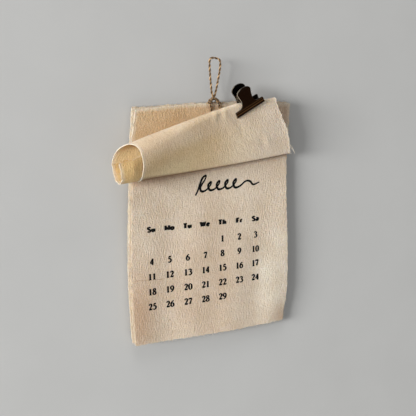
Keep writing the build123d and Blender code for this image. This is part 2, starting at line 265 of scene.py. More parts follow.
def calico_material():
    """Unbleached cotton calico, plain-woven and left raw: uneven warp, slubs and specks of husk, no shine."""
    found = bpy.data.materials.get("calico_plain_woven")
    if found:
        return found
    pages = bpy.context.scene.calendar_pages
    material, tree, shader = new_material("calico_plain_woven")
    flat = add(tree, "ShaderNodeUVMap", uv_map="flat").outputs[0]
    in_mm = (pages.width / MM, pages.height / MM, 1)
    cloth = add(tree, "ShaderNodeMapping", {0: flat, "Scale": in_mm}).outputs[0]
    # Threads of calico are about 0.5 mm apart; they are drawn 0.95 mm apart so that they show
    thread_scale = WAVE_PERIOD / 0.95
    wobble = {"Vector": cloth, "Scale": thread_scale, "Distortion": 2.2, "Detail": 2.0, "Detail Scale": 0.5}
    warp = add(tree, "ShaderNodeTexWave", wobble, bands_direction="X").outputs["Fac"]
    weft = add(tree, "ShaderNodeTexWave", wobble, bands_direction="Y").outputs["Fac"]
    weave = maths(tree, "MULTIPLY", warp, weft)
    # Slubs and crinkles 1.4 mm wide and some 5 mm long, most of them along the warp, which sways a little
    sway = noise(tree, cloth, 1 / 45, 1.0, result="Color")
    swayed = vector_maths(tree, "MULTIPLY_ADD", sway, (11, 11, 0), cloth)
    along_warp = add(tree, "ShaderNodeMapping", {0: swayed, "Scale": (1 / 1.4, 1 / 4.5, 1)}).outputs[0]
    streak = noise(tree, along_warp, 1.0, 3.0, 0.6)
    # Nubs of uneven thread about a millimetre across
    nubs = noise(tree, cloth, 1 / 1.1, 2.0)
    # Paler and darker patches some 30 mm wide
    patch = noise(tree, cloth, 1 / 30, 2.0)
    slubs = maths(tree, "MULTIPLY_ADD", nubs, 0.55, maths(tree, "MULTIPLY", streak, 0.5))
    tone = maths(tree, "MULTIPLY_ADD", weave, 0.25, slubs)
    tone = maths(tree, "MULTIPLY_ADD", patch, 0.5, tone)
    colour = blend(tree, ranged(tree, tone, 0.66, 1.02), pages.shade, pages.light)
    # Husk specks a millimetre across, one to some eight square centimetres
    cells = add(tree, "ShaderNodeTexVoronoi", {"Vector": cloth, "Scale": 1 / 16}).outputs
    near = maths(tree, "LESS_THAN", cells["Distance"], 0.034)
    rare = add(tree, "ShaderNodeSeparateColor", {0: cells["Color"]}).outputs[0]
    husk = maths(tree, "MULTIPLY", near, maths(tree, "GREATER_THAN", rare, 0.66))
    colour = blend(tree, maths(tree, "MULTIPLY", husk, 0.85), colour, pages.speck)
    # Brown where it is handled and as painted shade, pale yellow where it is rolled and as a painted glow,
    # painted shadow under the fold; a cut edge shows thread ends
    for key, tint in (("brown", pages.brown), ("straw_and_painted_glow", pages.straw_and_painted_glow), ("dark", pages.dark)):
        colour = blend(tree, marked(tree, key), colour, tint, "MULTIPLY")
    colour = blend(tree, marked(tree, "border"), colour, pages.edge)
    relief = maths(tree, "MULTIPLY_ADD", weave, 0.12, slubs)
    feed(tree, shader, {
        "Base Color": colour,
        "Normal": bumps(tree, relief, 0.9, 1.3 * MM),
        "Roughness": 0.92,
        "Specular IOR Level": 0.2,
        "Sheen Weight": 0.12,
        "Sheen Roughness": 0.5,
        "Subsurface Weight": 0.35,
        "Subsurface Radius": (1.0, 0.7, 0.4),
        "Subsurface Scale": 1.2 * MM,
    })
    return material


def jute_material():
    """Jute twine, spun and laid in strands: dull golden brown, with painted shade in the grooves, and coarse
    fibre.
    """
    found = bpy.data.materials.get("jute_laid_twine")
    if found:
        return found
    twine = bpy.context.scene.calendar_twine
    material, tree, shader = new_material("jute_laid_twine")
    # Fibres are about 0.1 mm thick; bundles of 0.5 mm show
    fibre = noise(tree, object_place(tree), 1 / (0.5 * MM), 3.0)
    spread = maths(tree, "MULTIPLY_ADD", fibre, 0.8, -0.4)
    level = maths(tree, "ADD", marked(tree, "groove"), spread, use_clamp=True)
    feed(tree, shader, {
        "Base Color": blend(tree, level, twine.shade, twine.light),
        "Normal": bumps(tree, fibre, 0.6, 0.25 * MM),
        "Roughness": 0.85,
        "Specular IOR Level": 0.25,
        "Sheen Weight": 0.15,
    })
    return material


def clip_frame():
    """The clip's pin, the way along its jaw and the way up its handle."""
    joint = frame["record"]["behaviour"]["joints"][0]
    across = -Vector(joint["axis"])
    upright = Vector((-across.z, 0, across.x)).normalized()
    up = upright * cos(HANDLE_LEAN) + across.cross(upright) * sin(HANDLE_LEAN)
    return Vector(joint["pos_m"]), across, up


def plate_material(name, base, highlight_bands):
    """Sheet steel, pressed, then browned or blackened in oil: dark, dull, bare on its edges, with painted
    highlights.
    """
    clip = bpy.context.scene.calendar_clip
    material, tree, shader = new_material(name)
    pin, across, up = clip_frame()
    place = object_place(tree)
    # Rubbed patches some 3 mm wide and grit of 0.4 mm
    patches = noise(tree, place, 1 / (3 * MM), 4.0)
    grit = noise(tree, place, 1 / (0.4 * MM), 2.0)
    from_pin = vector_maths(tree, "SUBTRACT", place, pin)
    aside = vector_maths(tree, "DOT_PRODUCT", from_pin, across, result="Value")
    height = vector_maths(tree, "DOT_PRODUCT", from_pin, up, result="Value")
    height = maths(tree, "ADD", height, maths(tree, "MULTIPLY_ADD", grit, 0.5 * MM, -0.25 * MM))
    colour = base
    # Painted highlight bands along the jaw
    for middle, half, share in highlight_bands:
        gap = maths(tree, "ABSOLUTE", maths(tree, "ADD", height, -middle * MM))
        near = ranged(tree, gap, half * MM, half * MM / 3, 0.0, share)
        colour = blend(tree, near, colour, clip.jaw_highlight)
    rounded = add(tree, "ShaderNodeBevel", {"Radius": 0.9 * MM}, samples=8).outputs[0]
    facing = add(tree, "ShaderNodeNewGeometry").outputs["Normal"]
    edge = ranged(tree, vector_maths(tree, "DOT_PRODUCT", rounded, facing, result="Value"), 0.99, 0.93)
    # Bare edges, brightest along the handle's left edge as a painted highlight, and hardly any on the jaw's
    # edges
    lit_left_edge = ranged(tree, aside, -1 * MM, -4 * MM, 0.12, 1.0)
    handle = ranged(tree, height, -3 * MM, 0.0, 0.15, 1.0)
    wear_and_highlight = maths(tree, "MULTIPLY", maths(tree, "MULTIPLY", edge, lit_left_edge), handle)
    feed(tree, shader, {
        "Base Color": blend(tree, wear_and_highlight, colour, clip.wear_and_highlight),
        "Roughness": ranged(tree, patches, 0.3, 0.7, 0.3, 0.45),
        "Normal": bumps(tree, grit, 0.25, 0.05 * MM),
        "Metallic": 1.0,
    })
    return material


def wire_material():
    """Spring steel, drawn to wire: grey, with fine lines along it and a satin shine."""
    material, tree, shader = new_material("spring_steel_drawn")
    drawn = noise(tree, object_place(tree), 1 / (0.3 * MM), 3.0)
    dull = ranged(tree, drawn, 0.3, 0.7, 0.25, 0.45)
    steel = bpy.context.scene.calendar_clip.steel
    feed(tree, shader, {"Base Color": steel, "Roughness": dull, "Metallic": 1.0})
    return material


def ink_material():
    """Pigment ink, block-printed on cloth: flat black that the threads break up a little."""
    scene = bpy.context.scene
    material, tree, shader = new_material("pigment_ink_printed")
    # The weave shows through the ink about every millimetre
    take = noise(tree, object_place(tree), 1 / (0.9 * MM), 2.0)
    level = ranged(tree, take, 0.6, 0.9, 0.0, 0.12)
    colour = blend(tree, level, scene.calendar_print.ink, scene.calendar_pages.shade)
    feed(tree, shader, {"Base Color": colour, "Roughness": 0.9, "Specular IOR Level": 0.15})
    return material


def mesh_piece(name, points, faces, material, flat=None, values=None, smooth=True):
    """A mesh object with its material, named values at its points and the points' places on the flat page."""
    mesh = bpy.data.meshes.new(name)
    mesh.from_pydata([tuple(point) for point in points], [], [tuple(face) for face in faces])
    mesh.polygons.foreach_set("use_smooth", [smooth] * len(mesh.polygons))
    corners = np.zeros(len(mesh.loops), dtype=np.int32)
    mesh.loops.foreach_get("vertex_index", corners)
    if flat is not None:
        layer = mesh.uv_layers.new(name="flat")
        layer.data.foreach_set("uv", np.asarray(flat, dtype=np.float32)[corners].ravel())
    for key, numbers in (values or {}).items():
        attribute = mesh.attributes.new(key, "FLOAT", "POINT")
        attribute.data.foreach_set("value", np.asarray(numbers, dtype=np.float32).ravel())
    mesh.materials.append(material)
    mesh.validate()
    piece = bpy.data.objects.new(name, mesh)
    bpy.context.scene.collection.objects.link(piece)
    return piece


def unit(ways):
    """Directions, each one long."""
    return ways / np.maximum(np.linalg.norm(ways, axis=-1, keepdims=True), 1e-12)


def distances(points):
    """How far along a line of points each point lies."""
    return np.concatenate([[0], np.cumsum(np.linalg.norm(np.diff(points, axis=0), axis=1))])


def grid_normals(grid):
    """Normals of a grid of points, row by row."""
    return unit(np.cross(np.gradient(grid, axis=0), np.gradient(grid, axis=1)))


def cloth_piece(name, grid, flat, thickness, material, brown, straw_and_painted_glow, rim=0.7, dark=0.0, fray=1.0):
    """A sheet with two faces and a cut edge all round, from the points along its middle, with its tints."""
    rows, columns = grid.shape[:2]
    normals = grid_normals(grid)
    index = np.arange(rows * columns).reshape(rows, columns)
    ring = np.concatenate([index[0, :-1], index[:-1, -1], index[-1, :0:-1], index[:0:-1, 0]])
    slim = np.ones(rows * columns)
    slim[ring] = rim
    middle, out = grid.reshape(-1, 3), normals.reshape(-1, 3) * (thickness / 2 * slim)[:, None]
    front, back = middle + out, middle - out
    points = np.concatenate([front, back, front[ring], back[ring]])
    places = flat.reshape(-1, 2)
    flats = np.concatenate([places, places, places[ring], places[ring]])
    corner = np.stack([index[:-1, :-1], index[1:, :-1], index[1:, 1:], index[:-1, 1:]], axis=-1)
    corner = corner.reshape(-1, 4)
    total, around = rows * columns, len(ring)
    first = 2 * total + np.arange(around)
    second = np.roll(first, -1)
    strip = np.stack([first, second, second + around, first + around], axis=-1)
    faces = np.concatenate([corner, total + corner[:, ::-1], strip])
    pale = np.zeros(total)
    frayed = np.broadcast_to(fray, (rows, columns)).reshape(-1)[ring]
    pale[ring] = 0.25 * frayed
    values = {"border": np.concatenate([pale, pale, 0.9 * frayed, 0.9 * frayed])}
    for key, tint in (("brown", brown), ("straw_and_painted_glow", straw_and_painted_glow), ("dark", dark)):
        tint = np.broadcast_to(tint, (2, rows, columns)).reshape(2, -1)
        values[key] = np.concatenate([tint[0], tint[1], tint[0][ring], tint[1][ring]])
    return mesh_piece(name, points, faces.tolist(), material, flats, values)


def add_tube(points, faces, line, sides, ups, radii, around, closed=False, caps=""):
    """Adds rings of points round a line and the faces between them, with caps at its end or at both ends."""
    base, rings = len(points), len(line)
    for middle, side, up, radius in zip(line, sides, ups, radii):
        for turn in range(around):
            angle = 2 * pi * turn / around
            points.append(middle + (side * cos(angle) + up * sin(angle)) * radius)
    for ring in range(rings if closed else rings - 1):
        near, far = base + ring * around, base + (ring + 1) % rings * around
        for turn in range(around):
            after = (turn + 1) % around
            faces.append((near + turn, near + after, far + after, far + turn))
    if caps == "both":
        faces.append(tuple(range(base + around - 1, base - 1, -1)))
    if caps:
        faces.append(tuple(range(len(points) - around, len(points))))


def raw_edge(name, lines, material, seed, spacing, reach, thread):
    """Loose thread ends along cut edges. Each line holds points, outward directions and normals."""
    rng = np.random.default_rng(seed)
    points, faces, flats = [], [], []
    # Places along a thread end, from inside the cloth to its tip, and how thick it is there
    shares, slims = np.array([-0.25, 0.35, 0.72, 1.0]), np.array([1.0, 0.95, 0.75, 0.3])
    for line, outward, normal in lines:
        places = distances(line)
        for place in np.sort(rng.uniform(0, places[-1], int(places[-1] / spacing))):
            spot = min(np.searchsorted(places, place), len(places) - 1)
            start = line[spot] + (line[max(spot - 1, 0)] - line[spot]) * rng.uniform()
            out, up = outward[spot], normal[spot]
            side = np.cross(out, up)
            length = reach * rng.uniform(0.25, 1.0) ** 2
            lean, lift, curl = rng.normal(0, 0.5), rng.normal(0, 0.35), rng.normal(0, 0.5)
            way = out + side * lean + up * lift
            bend = side * curl + up * rng.normal(0, 0.3)
            radii = thread * rng.uniform(0.6, 1.1) / 2 * slims
            middles = [start + way * length * share + bend * length * max(share, 0) ** 2 for share in shares]
            add_tube(points, faces, middles, [side] * 4, [-up] * 4, radii, 3, caps="end")
            flats += [(rng.uniform(), rng.uniform()) for _ in range(3 * len(shares))]
    return mesh_piece(name, points, faces, material, flats)


def stray_threads(name, ways, material, thread, brown):
    """Long loose threads, each along a line through the air or over the cloth, given in millimetres."""
    points, faces = [], []
    for way in ways:
        line = spline_points(name + "_way", way)
        sides, ups = line_frames(line, False)
        add_tube(points, faces, line, sides, ups, [thread / 2] * len(line), 5, caps="both")
    values = {"brown": np.full(len(points), brown)}
    return mesh_piece(name, points, faces, material, np.zeros((len(points), 2)), values)


def cloth_edges(grid, sides):
    """Points, outward directions and normals along the named sides of a sheet's grid."""
    normals = grid_normals(grid)
    pick = {
        "left": (slice(None), 0, 1),
        "right": (slice(None), -1, -2),
        "top": (0, slice(None), 1),
        "bottom": (-1, slice(None), -2),
    }
    lines = []
    for side in sides:
        first, second, inner = pick[side]
        line = grid[first, second]
        behind = grid[first, inner] if isinstance(first, slice) else grid[inner, second]
        lines.append((line, unit(line - behind), normals[first, second]))
    return lines


def smooth_step(value, low, high):
    """A soft step from 0 at low to 1 at high."""
    share = np.clip((value - low) / (high - low), 0, 1)
    return share * share * (3 - 2 * share)


def page_sag(across, down):
    """How far the hanging pages bow towards the wall, in millimetres, at places on the flat page."""
    lower = smooth_step(down, 60, 150)
    bow = 0.7 * np.sin(2 * pi * across / 118 + 0.6) * lower
    ripple = 0.35 * np.sin(2 * pi * (across + 0.12 * down) / 46 + 1.1) * lower
    bulge = -0.8 * np.exp(-(((across - 134) / 12) ** 2) - ((down - 165) / 30) ** 2)
    corner = 2.4 * smooth_step(across + 0.35 * (down - 203), 128, 154) * smooth_step(down, 165, 203)
    return bow + ripple + bulge + corner


def page_place(across, down, sheet):
    """Where a place on a flat page hangs, in mm. Sheet 0 is on show, and the others hang behind it."""
    pages = bpy.context.scene.calendar_pages
    rng = np.random.default_rng(40 + sheet)
    phase = rng.uniform(0, 2 * pi, 3)
    own = 0.05 * np.sin(across / 21 + phase[0]) + 0.05 * np.sin(down / 27 + phase[1])
    fan = smooth_step(down, 70, 200) * (0.08 + 0.1 * smooth_step(-across, -50, 0))
    behind = pages.front / MM + pages.pitch / MM * (sheet + 0.5)
    depth = behind + own + page_sag(across, down) * (1 - 0.05 * sheet) - fan * (pages.later - sheet)
    left = (pages.middle - pages.width / 2) / MM
    return np.stack([left + across, depth, -pages.top / MM - down], axis=-1)


# How far the left edge has swelled, as a share of the swell, at shares of the way down the page
SWELL_DOWNS = (0, 0.12, 0.25, 0.4, 0.55, 0.7, 0.8, 0.9, 1)
SWELLS = (-0.2, 0.25, 0.48, 0.7, 0.9, 1.0, 0.93, 0.74, 0.5)
# Small waves along the cut edges of a hanging page and of the rolled page: height in millimetres and rate
RAGGED_LEFT, RAGGED_RIGHT = ((0.16, 190), (0.12, 77)), ((0.16, 170), (0.14, 83))
RAGGED_LOW, RAGGED_TOP = ((0.2, 150), (0.14, 67)), ((0.3, 120), (0.35, 43))
ROLLED_SIDE, ROLLED_LOW = ((0.22, 150), (0.18, 83), (0.12, 260)), ((0.2, 140), (0.15, 61))


def ragged(place, waves, starts):
    """How far a cut edge strays at a share of its length, in millimetres."""
    return sum(high * np.sin(place * rate + start) for (high, rate), start in zip(waves, starts))


def page_grid(sheet, columns, rows):
    """Places on a flat page, and where they hang: edges that stray, slip and fray a little."""
    pages = bpy.context.scene.calendar_pages
    width, height = pages.width / MM, pages.height / MM
    rng = np.random.default_rng(7 + sheet)
    slip_x, slip_z = (rng.uniform(-1, 0.15), rng.uniform(-0.5, 0.5)) if sheet else (0.0, 0.0)
    phase = rng.uniform(0, 2 * pi, 6)
    s = np.linspace(0, 1, columns)[None, :] * np.ones((rows, 1))
    t = np.linspace(0, 1, rows)[:, None] * np.ones((1, columns))
    # Cut by hand: the right edge swings in, out and in again
    wander = -np.sin(pi * np.clip(t / 0.55, 0, 1)) + 0.6 * np.sin(pi * np.clip((t - 0.55) / 0.4, 0, 1))
    wander = wander - 1.1 * smooth_step(t, 0.86, 1.0)
    swell = np.interp(t, SWELL_DOWNS, SWELLS) * pages.swell / MM
    left = 0.4 * np.sin(t * 4 + phase[4]) * (1 if sheet else 0.4) + ragged(t, RAGGED_LEFT, phase[:2]) - swell
    right = width + wander * pages.wave / MM * (0.8 if sheet else 1) + ragged(t, RAGGED_RIGHT, phase[2:4])
    # Pages further behind rise less in the middle and more at the top left corner, and end higher below it
    behind, dome = sheet / pages.later, 1 - (2 * s - 1) ** 2
    arch = (pages.arch / MM - 2.2 * behind) * dome + ragged(s, RAGGED_TOP, phase[[3, 2]])
    arch = arch + 1.4 * behind * smooth_step(-s, -0.07, 0)
    low = height + 0.9 * dome + ragged(s, RAGGED_LOW, phase[[5, 1]])
    low = low - 4.5 * smooth_step(-s, -0.05, 0) * behind
    across = left + s * (right - left)
    down = -arch + t * (low + arch)
    slips = np.array([slip_x, slip_z]) * pages.slip / MM
    grid = page_place(across, down, sheet) + np.array([slips[0], 0, slips[1]])
    flat = np.stack([across / width, 1 - down / height], axis=-1)
    return grid * MM, flat


def own_cloth(piece, lines_name, grid, sides, node, held, flat_size, seed, spacing, reach, others=()):
    """Adds a page's loose thread ends, sets them and the page on the calendar's body, and hides the packed
    part that the page stands in for.
    """
    edges, thread = cloth_edges(grid, sides), bpy.context.scene.calendar_pages.loose
    ends = raw_edge(lines_name, edges, calico_material(), seed, spacing * MM, reach * MM, thread)
    for part in (piece, ends, *others):
        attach(part, BODY)
    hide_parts(node)


# Where the page on show is browner or paler than the rest: x, z, half width, half height and how much browner
TONE_PATCHES = [
    (-72.0, -216.0, 14.0, 34.0, 0.65),
    (63.0, -200.0, 20.0, 36.0, -0.42),
    (-8.0, -200.0, 40.0, 50.0, 0.25),
    (73.0, -239.0, 7.0, 14.0, 0.5),
]
# The line on the page on show just under the roll: x and z of its left end, and its slope
UNDER_X, UNDER_Z, UNDER_SLOPE = -78.5, -102.3, 0.1213
# How brown that page is, how much browner at the line, in place of a shadow, and how far down
PAGE_BROWN, UNDER_BROWN, UNDER_REACH = 0.33, 0.6, 4
# Two dark threads woven into the page on show: from and to across the page, and how far down
SLUBS = ((-3.0, 11.0, 145.5), (12.0, 26.0, 146.6))
# Columns and rows of points in the page on show, in a later page and in the rolled page
SHOWN_GRID, LATER_GRID, ROLLED_GRID = (110, 140), (60, 90), (90, 300)
MONTHS = "march april may june july august september october november december".split()


class CALENDAR_OT_february_page(bpy.types.Operator):
    """Builds the page on show, with its raw edges."""

    bl_idname = "calendar.february_page"
    bl_label = "Page on show"

    def execute(self, context):
        pages = context.scene.calendar_pages
        grid, flat = page_grid(0, *SHOWN_GRID)
        x, z = grid[..., 0] / MM, grid[..., 2] / MM
        brown = PAGE_BROWN + sum(
            more * np.exp(-(((x - middle) / wide) ** 2) - ((z - height) / high) ** 2)
            for middle, height, wide, high, more in TONE_PATCHES
        )
        below = UNDER_Z + UNDER_SLOPE * (x - UNDER_X) - z
        brown = np.clip(brown + UNDER_BROWN * np.exp(-np.maximum(below, 0) / UNDER_REACH), 0, 1)
        cloth = calico_material()
        piece = cloth_piece("february_cloth", grid, flat, pages.thickness, cloth, brown, straw_and_painted_glow=0.0)
        size = (pages.width, pages.height)
        sides = ("left", "right", "bottom")
        ways = [self.slub_way(*slub) for slub in SLUBS]
        slub = stray_threads("february_slub", ways, cloth, pages.slub, brown=1.0)
        fringe = {"seed": 3, "spacing": 0.9, "reach": 2.0, "others": [slub]}
        own_cloth(piece, "february_raw_edge", grid, sides, "february_page", "hung", size, **fringe)
        return {"FINISHED"}

    def slub_way(self, start, end, down):
        """Points of a dark thread on the front of the page, which wavers a little on its way."""
        front = np.array([0, bpy.context.scene.calendar_pages.thickness / 2 / MM, 0])
        way = []
        for step, share in enumerate((0, 0.3, 0.6, 1)):
            across = np.float64(start + (end - start) * share)
            way.append(tuple(page_place(across, np.float64(down + share + 0.3 * (-1) ** step), 0) - front))
        return way


class CALENDAR_OT_later_pages(bpy.types.Operator):
    """Builds the pages behind, each slightly out of line with the next."""

    bl_idname = "calendar.later_pages"
    bl_label = "Later pages"

    def execute(self, context):
        pages = context.scene.calendar_pages
        sides, size = ("left", "right", "bottom", "top"), (pages.width, pages.height)
        for sheet in range(1, pages.later + 1):
            month = MONTHS[(sheet - 1) % len(MONTHS)]
            grid, flat = page_grid(sheet, *LATER_GRID)
            cloth = calico_material()
            piece = cloth_piece(month + "_cloth", grid, flat, pages.thickness, cloth, brown=0.4, straw_and_painted_glow=0.1)
            fringe = {"seed": 20 + sheet, "spacing": 1.1, "reach": 2.2}
            own_cloth(piece, month + "_raw_edge", grid, sides, "later_pages", "hung", size, **fringe)
        return {"FINISHED"}


def on_circle(centre, radius, angle):
    """Point of a circle at an angle."""
    return centre[0] + radius * cos(angle), centre[1] + radius * sin(angle)


def belt_angle(centre, radius, next_centre, next_radius):
    """Angle of the radius at which a belt leaves one circle for the next, clockwise round both."""
    step_y = next_centre[0] - centre[0]
    step_height = next_centre[1] - centre[1]
    return atan2(step_height, step_y) + acos((radius - next_radius) / hypot(step_y, step_height))


def roll_circles(along):
    """Fold and crest circles of the roll's section at a distance along it: (y, height) and radius, in mm."""
    roll = bpy.context.scene.calendar_roll
    page_width = bpy.context.scene.calendar_pages.width / MM
    flat_fold, flat_crest = roll.fold_radius / MM, roll.crest_radius / MM
    diameter, pitch = roll.diameter / MM, roll.pitch / MM
    round_part = min(max((along + roll.overhang / MM) / (roll.taper / MM), 0), 1)
    roundness = (1 - round_part) ** roll.power
    fold_radius = flat_fold + (diameter / 2 - flat_fold) * roundness
    crest_radius = flat_crest + ((diameter - pitch) / 2 - flat_crest) * roundness
    stand_off = pitch + (roll.stand_off / MM - pitch) * (1 - roundness)
    flat_girth = 2 * (roll.height / MM - flat_fold - flat_crest) + pi * (flat_fold + flat_crest)
    round_girth = 2 * roll.straight / MM + pi * (diameter - pitch / 2)
    girth = round_girth + (flat_girth - round_girth) * round_part**roll.girth_power
    height = (girth - pi * (fold_radius + crest_radius)) / 2 + fold_radius + crest_radius
    width_share = along / page_width
    fold_z = (-roll.drop_left + (roll.drop_left - roll.drop_right) * width_share) / MM
    fold_z -= roll.bow / MM * sin(pi * min(max(width_share, 0), 1))
    fold_height = (fold_z - along * sin(roll.skew)) / cos(roll.skew)
    fold_centre = (-fold_radius, fold_height + fold_radius)
    crest_centre = (-stand_off - crest_radius, fold_height + height - crest_radius)
    return fold_centre, fold_radius, crest_centre, crest_radius


# How far the rolled page's side edges stray to the left, as shares of the stray, at shares of its length
STRAY_DOWNS = (0, 0.15, 0.34, 0.55, 0.73, 1)
LEFT_STRAYS = (0, 0.33, 0.33, -0.27, 0.8, 0.65)
RIGHT_STRAYS = (0, 0.1, 0.2, 1, 0.95, 0.6)


def eased(place, places, values):
    """A value between those at the places on either side, with no kink at any of them."""
    for start, end, low, high in zip(places, places[1:], values, values[1:]):
        if place < end:
            way = max((place - start) / (end - start), 0)
            return low + (high - low) * (1 - cos(pi * way)) / 2
    return values[-1]


def roll_point(across, down):
    """Where a place on the flat first page lies once rolled, in mm, and its run, 0 where it hangs."""
    roll = bpy.context.scene.calendar_roll
    pages = bpy.context.scene.calendar_pages
    share_down = down / (roll.length / MM)
    left_stray = eased(share_down, STRAY_DOWNS, LEFT_STRAYS)
    right_stray = eased(share_down, STRAY_DOWNS, RIGHT_STRAYS)
    stray = left_stray + (right_stray - left_stray) * across / (pages.width / MM)
    along = across * cos(roll.skew) - down * sin(roll.skew) - roll.stray / MM * stray
    travel = down * cos(roll.skew) + across * sin(roll.skew)
    run = 0.0
    fold_centre, fold_radius, crest_centre, crest_radius = roll_circles(along)
    pitch = roll.pitch / MM
    y, height = 0.0, -travel
    left = -fold_centre[1]
    if travel > left:
        travel -= left
        angle = 0.0
        circles = []
        for turn in range(3):
            circles.append((fold_centre, fold_radius - turn * pitch))
            circles.append((crest_centre, crest_radius - turn * pitch))
        for (centre, radius), (next_centre, next_radius) in zip(circles, circles[1:]):
            leave = belt_angle(centre, radius, next_centre, next_radius)
            swing = (angle - leave) % (2 * pi)
            run += 1
            if travel <= radius * swing:
                y, height = on_circle(centre, radius, angle - travel / radius)
                break
            travel -= radius * swing
            run += 1
            start = on_circle(centre, radius, leave)
            end = on_circle(next_centre, next_radius, leave)
            reach = hypot(end[0] - start[0], end[1] - start[1])
            if travel <= reach:
                share = travel / reach
                y, height = start[0] + (end[0] - start[0]) * share, start[1] + (end[1] - start[1]) * share
                run += min(share, 0.99)
                break
            travel -= reach
            angle = leave
    x = (pages.middle - pages.width / 2) / MM + along * cos(roll.skew) - height * sin(roll.skew)
    z = -pages.top / MM + along * sin(roll.skew) + height * cos(roll.skew)
    return (x, (pages.front - roll.gap) / MM + y, z), run


# The run at which the rolled page's end comes into the roll's open mouth
MOUTH_RUN = 5
# Dents and puckers of the rolled page's outer turn: x, z, tilt, length, width and height in millimetres
DENTS = [
    (-7.7, -47.0, 0.1, 5.0, 1.8, -0.6),
    (2.6, -46.0, -0.15, 5.0, 1.8, -0.5),
    (-2.6, -46.5, 0.0, 5.0, 2.4, 0.35),
    (10.0, -55.0, -0.7, 12.0, 4.0, -0.4),
    (18.0, -57.0, -0.7, 14.0, 4.0, 0.3),
    (44.0, -73.5, -0.6, 5.5, 2.2, 0.55),
    (48.0, -70.0, -0.6, 6.0, 2.4, -0.35),
    (60.0, -62.0, -0.25, 14.0, 5.0, 0.3),
    (-30.0, -80.0, 1.2, 24.0, 7.0, 0.3),
    (-45.0, -72.0, 1.2, 20.0, 6.0, -0.3),
]
# Threads that hang loose from the rolled page's right edge
STRAY_THREADS = [
    [(70.5, -7.5, -74.0), (73.5, -7.8, -76.5), (76.5, -7.5, -80.0), (79.0, -7.0, -84.5)],
    [(71.0, -7.2, -76.0), (74.0, -7.4, -78.0), (77.5, -7.0, -82.0)],
]


class CALENDAR_OT_january_page(bpy.types.Operator):
    """Builds the first page, rolled forwards along a skew line and pressed flat at the right."""

    bl_idname = "calendar.january_page"
    bl_label = "Rolled page"

    def execute(self, context):
        pages = context.scene.calendar_pages
        roll = context.scene.calendar_roll
        width, length = pages.width / MM, roll.length / MM
        columns, rows = ROLLED_GRID
        s = np.linspace(0, 1, columns)
        t = np.linspace(0, 1, rows)
        grid = np.zeros((rows, columns, 3))
        flat = np.zeros((rows, columns, 2))
        runs = np.zeros((rows, columns))
        for row in range(rows):
            for column in range(columns):
                side, way = s[column], t[row]
                across = side * width + ragged(way, ROLLED_SIDE, (1, 0, 0))
                arch = pages.arch / MM * (1 - (2 * side - 1) ** 2)
                down = -arch + way * (length + arch) + ragged(side, ROLLED_LOW, (0, 0))
                grid[row, column], runs[row, column] = roll_point(across, down)
                flat[row, column] = across / width, 1 - down / (pages.height / MM)
        normals = grid_normals(grid)
        outer = (runs >= 1) & (runs < 4)
        front = np.where((runs >= 2) & (runs < 3), 4 * (runs - 2) * (3 - runs), 0)
        press = np.where(outer, self.dents(grid), 0) - roll.crown / MM * front
        grid = self.eased_turn(grid + press[..., None] * normals, outer)
        brown, straw_and_painted_glow, dark = self.tints(grid, runs)
        cloth, grid = calico_material(), grid * MM
        more = {"rim": 1.5, "dark": dark, "fray": np.where(runs < MOUTH_RUN, 1, 0.4)}
        piece = cloth_piece("january_cloth", grid, flat, pages.thickness, cloth, brown, straw_and_painted_glow, **more)
        size = (pages.width, roll.length)
        sides = ("left", "right", "bottom", "top")
        strays = stray_threads("january_stray_threads", STRAY_THREADS, cloth, pages.stray, brown=0.2)
        fringe = {"seed": 5, "spacing": 0.6, "reach": 2.6, "others": [strays]}
        own_cloth(piece, "january_raw_edge", grid, sides, "january_page", "folded", size, **fringe)
        return {"FINISHED"}

    def eased_turn(self, grid, outer):
        """The outer turn without sudden changes of bend, eased more where the roll is round."""
        round_share = (1 - smooth_step(grid[..., 0], -95, -5)) ** 1.5
        share = np.where(outer, 0.8 * round_share, 0)[..., None]
        for _ in range(40):
            mean = (np.roll(grid, 1, axis=0) + np.roll(grid, -1, axis=0)) / 2
            grid = grid + (mean - grid) * share
        return grid

    def tints(self, grid, runs):
        """How brown, yellow and dark the rolled page is, on its inner face and on its back: painted shade,
        painted light and a painted glow.
        """
        x, z = grid[..., 0], grid[..., 2]
        # The back is browner and more yellow at the left, as painted shade, but less brown low at the left,
        # as painted bounce light from the page below
        left = 1 - smooth_step(x, -35, 60)
        below = -75 + (x + 90) * 0.24 - z
        low_left = smooth_step(below, 12, 28) * smooth_step(-x, 10, 50)
        brown = 0.28 + 0.17 * left - 0.4 * low_left
        straw_and_painted_glow = 0.66 * left * (0.45 + 0.55 * smooth_step(below, 0, 14))
        # The inner face is brown where the page hangs, as painted shade, and pale yellow where it is rolled,
        # as a painted glow of light through the cloth
        rolled, mouth = runs >= 1, runs >= MOUTH_RUN
        brown = np.stack([np.where(rolled, 0.0, 0.72), brown])
        straw_and_painted_glow = np.stack([np.where(rolled, 0.75, 0.48 * left + 0.05), straw_and_painted_glow])
        # Inside the roll's open mouth: painted shade and a painted glow of light through the cloth
        brown = np.where(mouth, 0.45, brown)
        straw_and_painted_glow = np.where(mouth, 1.0, straw_and_painted_glow)
        # The fold's underside is darkened in place of a shadow in the photograph
        under = np.where((runs >= 1) & (runs < 2), smooth_step(grid_normals(grid)[..., 2], 0.55, 0.95), 0)
        dark = np.stack([np.zeros(under.shape), under])
        # The raw edges are fluffy and paler than the cloth
        fade = np.clip(np.arange(grid.shape[0]) / 6, 0.15, 1)[:, None]
        for tint in (brown, straw_and_painted_glow, dark):
            tint *= fade
            tint[:, :, (0, -1)] *= 0.3
            tint[:, :, (1, -2)] *= 0.6
        return brown, straw_and_painted_glow, dark

    def dents(self, grid):
        """How far the outer turn is pressed in (less than 0) or puckers out, in millimetres."""
        press = np.zeros(grid.shape[:2])
        for x, z, tilt, long, wide, high in DENTS:
            along = (grid[..., 0] - x) * sin(tilt) + (grid[..., 2] - z) * cos(tilt)
            aside = (grid[..., 0] - x) * cos(tilt) - (grid[..., 2] - z) * sin(tilt)
            press += high * np.exp(-((along / long) ** 2) - (aside / wide) ** 2)
        return press


